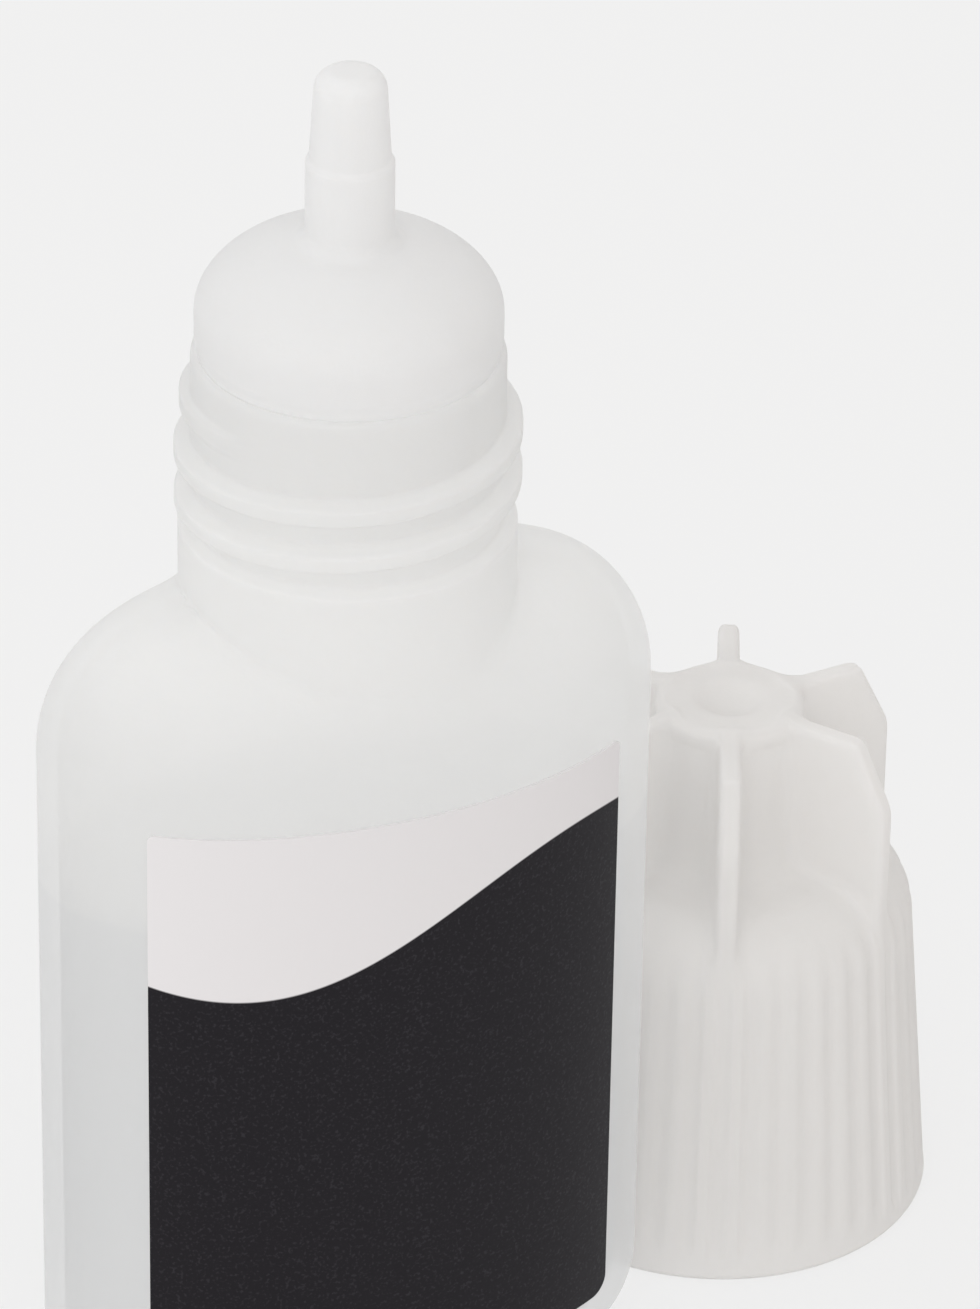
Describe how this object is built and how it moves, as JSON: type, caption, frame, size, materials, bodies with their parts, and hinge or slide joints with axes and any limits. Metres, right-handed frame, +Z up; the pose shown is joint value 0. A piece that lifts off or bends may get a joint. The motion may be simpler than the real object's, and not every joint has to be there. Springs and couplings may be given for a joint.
{
  "type": "nail glue bottle",
  "caption": "Oval squeeze bottle with a threaded neck, a domed nozzle plug with a closed tip, a label on its front, and a finned screw cap that stands beside it.",
  "frame": {"origin": "centre of the bottle's flat base, on the surface it stands on", "axes": "+Z up along the bottle's axis, +X along the wide side of the oval body, -Y out of the labelled face"},
  "size_m": [0.0448, 0.0253, 0.0639],
  "materials": {
    "bottle": "satin",
    "nozzle": "satin",
    "glue": "gloss",
    "label": "satin",
    "cap": "satin"
  },
  "bodies": {
    "bottle": {"bottle_body": "bottle", "nozzle_plug": "nozzle", "glue_fill": "glue", "front_label": "label"},
    "cap": {"screw_cap": "cap"}
  },
  "joints": [
    {"name": "cap_lift", "type": "slide", "parent": "bottle", "child": "cap", "axis": [0, 0, 1], "range_m": [0, 0.07]}
  ]
}
